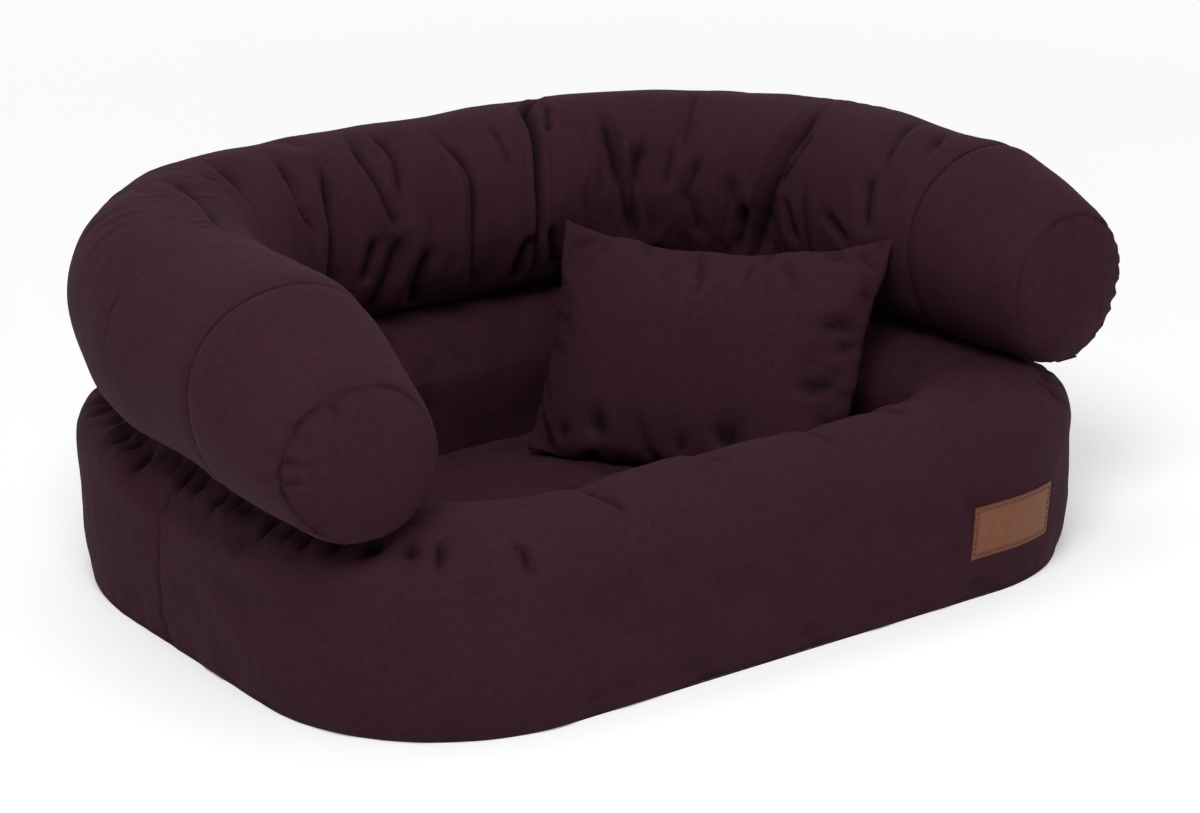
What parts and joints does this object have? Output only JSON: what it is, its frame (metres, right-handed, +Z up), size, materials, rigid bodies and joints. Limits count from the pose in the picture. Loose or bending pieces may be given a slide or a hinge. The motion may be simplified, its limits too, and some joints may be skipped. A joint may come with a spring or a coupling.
{
  "type": "pet bed",
  "caption": "Sofa-shaped pet bed: a padded wall round a sunken seat cushion, a gathered stuffed roll as back and arms with domed ends, a loose pillow, a plain front label and zipped covers.",
  "frame": {"origin": "on the floor under the middle of the bed's outer box", "axes": "+X along the width towards the right arm as seen from the front, -Y towards the low open front, +Z up"},
  "size_m": [0.7984, 0.5994, 0.307],
  "materials": {
    "plum_cloth": "dark plum woven upholstery cloth, matt with a slight sheen",
    "filling": "white polyester fibre filling",
    "non_slip": "black cloth with a non-slip backing",
    "tape": "plum cotton tape",
    "label": "tan brown imitation leather, plain, with a darker border",
    "thread": "red brown sewing thread",
    "zip_tape": "dark plum woven zip tape",
    "zip_teeth": "dark plum moulded plastic",
    "zip_metal": "dark enamelled zinc"
  },
  "bodies": {
    "root": {"bolster_back_cover": "plum_cloth", "bolster_filling": "filling", "bolster_left_arm_cover": "plum_cloth", "bolster_left_end_cap": "plum_cloth", "bolster_right_arm_cover": "plum_cloth", "bolster_right_end_cap": "plum_cloth", "bolster_zip_tape": "zip_tape", "bolster_zip_teeth": "zip_teeth", "bottom_panel": "non_slip", "joining_tape": "tape", "label_patch": "label", "label_stitching": "thread", "wall_filling": "filling", "wall_front_cover": "plum_cloth", "wall_rear_cover": "plum_cloth", "wall_zip_tape": "zip_tape", "wall_zip_teeth": "zip_teeth"},
    "seat_cushion": {"seat_border": "plum_cloth", "seat_bottom_cover": "plum_cloth", "seat_filling": "filling", "seat_top_cover": "plum_cloth", "seat_zip_tape": "zip_tape", "seat_zip_teeth": "zip_teeth"},
    "pillow": {"pillow_back_cover": "plum_cloth", "pillow_filling": "filling", "pillow_front_cover": "plum_cloth"},
    "bolster_zip_slider": {"bolster_zip_slider": "zip_metal"},
    "bolster_zip_pull": {"bolster_zip_pull": "zip_metal"},
    "wall_zip_slider": {"wall_zip_slider": "zip_metal"},
    "wall_zip_pull": {"wall_zip_pull": "zip_metal"},
    "seat_zip_slider": {"seat_zip_slider": "zip_metal"}
  },
  "joints": [
    {"name": "seat_lift", "type": "slide", "parent": "root", "child": "seat_cushion", "axis": [0, 0, 1], "range_m": [0, 0.26]},
    {"name": "pillow_lift", "type": "slide", "parent": "seat_cushion", "child": "pillow", "axis": [0, 0, 1], "range_m": [0, 0.3]},
    {"name": "bolster_zip_slide", "type": "slide", "parent": "root", "child": "bolster_zip_slider", "axis": [1, 0, 0], "range_m": [0, 0.156]},
    {"name": "bolster_zip_pull_swing", "type": "hinge", "parent": "bolster_zip_slider", "child": "bolster_zip_pull", "pos_m": [-0.078, 0.2963, 0.2262], "axis": [0, 0, 1], "range_deg": [0, 180]},
    {"name": "wall_zip_slide", "type": "slide", "parent": "root", "child": "wall_zip_slider", "axis": [1, 0, 0], "range_m": [0, 0.196]},
    {"name": "wall_zip_pull_swing", "type": "hinge", "parent": "wall_zip_slider", "child": "wall_zip_pull", "pos_m": [-0.098, 0.2983, 0.078], "axis": [0, 0, 1], "range_deg": [0, 180]},
    {"name": "seat_zip_slide", "type": "slide", "parent": "seat_cushion", "child": "seat_zip_slider", "axis": [1, 0, 0], "range_m": [0, 0.176]}
  ]
}
